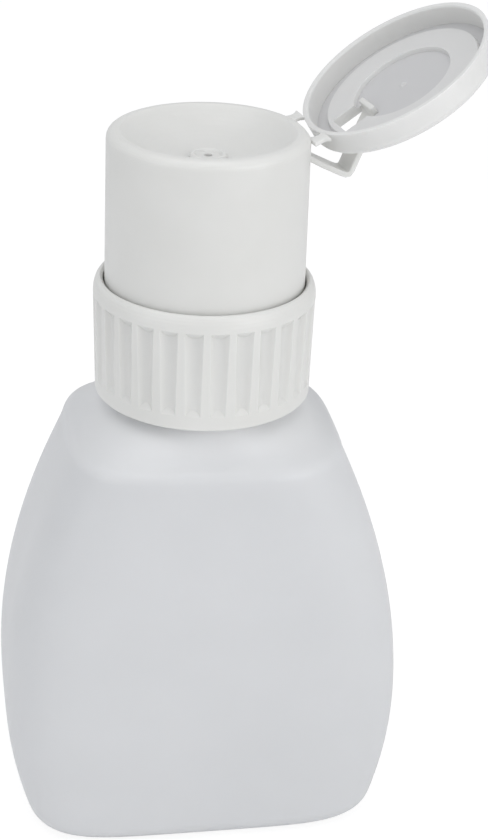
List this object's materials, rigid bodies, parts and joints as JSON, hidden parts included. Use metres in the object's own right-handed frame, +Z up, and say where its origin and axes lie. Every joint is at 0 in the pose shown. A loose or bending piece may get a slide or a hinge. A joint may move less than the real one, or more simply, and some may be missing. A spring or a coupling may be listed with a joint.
{
  "type": "push-down dosing bottle",
  "caption": "Blown plastic bottle with a ribbed screw collar and a press-down pump head: a dish top with a flip lid on a moulded hinge.",
  "frame": {"origin": "centre of the plane that the bottle stands on", "axes": "+X along the bottle's wide way, towards the lid's hinge; the front faces -Y; +Z up through the neck"},
  "size_m": [0.0922, 0.0506, 0.1595],
  "materials": {
    "bottle_plastic": "natural milky polyethylene, semi-gloss, blow moulded",
    "cap_plastic": "white polypropylene, semi-gloss, injection moulded",
    "pump_plastic": "natural polypropylene, slightly milky",
    "seal_plastic": "soft natural polyethylene",
    "spring_steel": "drawn stainless spring wire",
    "ball_steel": "polished stainless ball"
  },
  "bodies": {
    "bottle": {"bottle": "bottle_plastic"},
    "pump": {"pump_barrel": "pump_plastic", "gasket": "seal_plastic", "stem_guide": "pump_plastic", "suction_ball": "ball_steel", "dip_tube": "seal_plastic", "return_spring": "spring_steel"},
    "collar": {"collar": "cap_plastic"},
    "piston": {"piston": "seal_plastic"},
    "head": {"head_shell": "cap_plastic", "stem": "pump_plastic", "plunger_rod": "pump_plastic", "outlet_ring": "cap_plastic", "hinge_strap_front": "cap_plastic", "hinge_strap_back": "cap_plastic", "toggle_strap": "cap_plastic"},
    "lid": {"lid": "cap_plastic"}
  },
  "joints": [
    {"name": "closure_lift", "type": "slide", "parent": "bottle", "child": "pump", "axis": [0, 0, 1], "range_m": [0, 0.005]},
    {"name": "collar_turn", "type": "hinge", "parent": "pump", "child": "collar", "pos_m": [0, 0, 0.1], "axis": [0, 0, 1], "range_deg": [0, 450]},
    {"name": "head_press", "type": "slide", "parent": "pump", "child": "piston", "axis": [0, 0, -1], "range_m": [0, 0.008], "stiffness_N_per_m": 600, "springref_m": -0.004, "deforming": ["return_spring"]},
    {"name": "head_turn", "type": "hinge", "parent": "piston", "child": "head", "pos_m": [0, 0, 0.12], "axis": [0, 0, 1], "continuous": true},
    {"name": "lid_hinge", "type": "hinge", "parent": "head", "child": "lid", "pos_m": [0.01883, 0.00349, 0.13925], "axis": [0.1822, -0.9833, 0], "range_deg": [0, 147], "deforming": ["hinge_strap_front", "hinge_strap_back", "toggle_strap"]}
  ],
  "couplings": [
    {"joint": "closure_lift", "follows": "collar_turn", "m_per_rad": 0.00063662}
  ]
}
